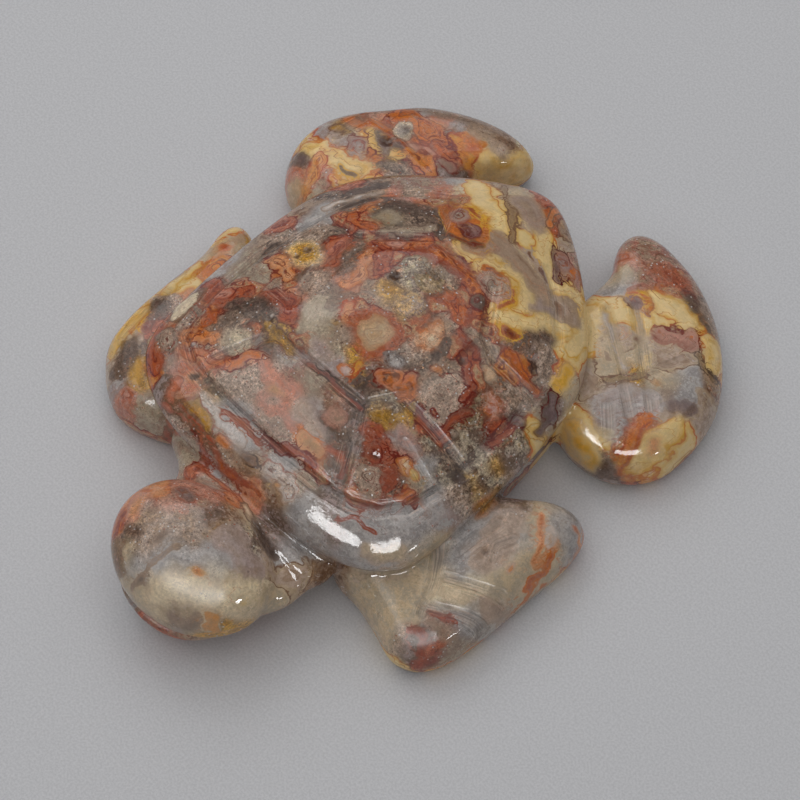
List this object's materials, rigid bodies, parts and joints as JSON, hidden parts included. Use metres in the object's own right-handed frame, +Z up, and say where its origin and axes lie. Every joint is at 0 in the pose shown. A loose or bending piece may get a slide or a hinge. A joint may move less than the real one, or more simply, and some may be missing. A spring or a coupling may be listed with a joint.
{
  "type": "turtle figurine",
  "caption": "Palm-size turtle carved from one piece of polished jasper, with a domed shell cut into plates, spread flippers and a rounded head, lying on a flat belly.",
  "frame": {"origin": "middle of the box in plan, on the flat belly that the stone rests on", "axes": "+Z up out of the shell, +Y from the head towards the tail end of the shell, +X to the turtle's left as seen from its head, which is the side nearer the viewer in the picture"},
  "size_m": [0.0894, 0.1118, 0.0296],
  "materials": {
    "polished_jasper": "polished"
  },
  "bodies": {
    "root": {"turtle": "polished_jasper"}
  },
  "joints": []
}
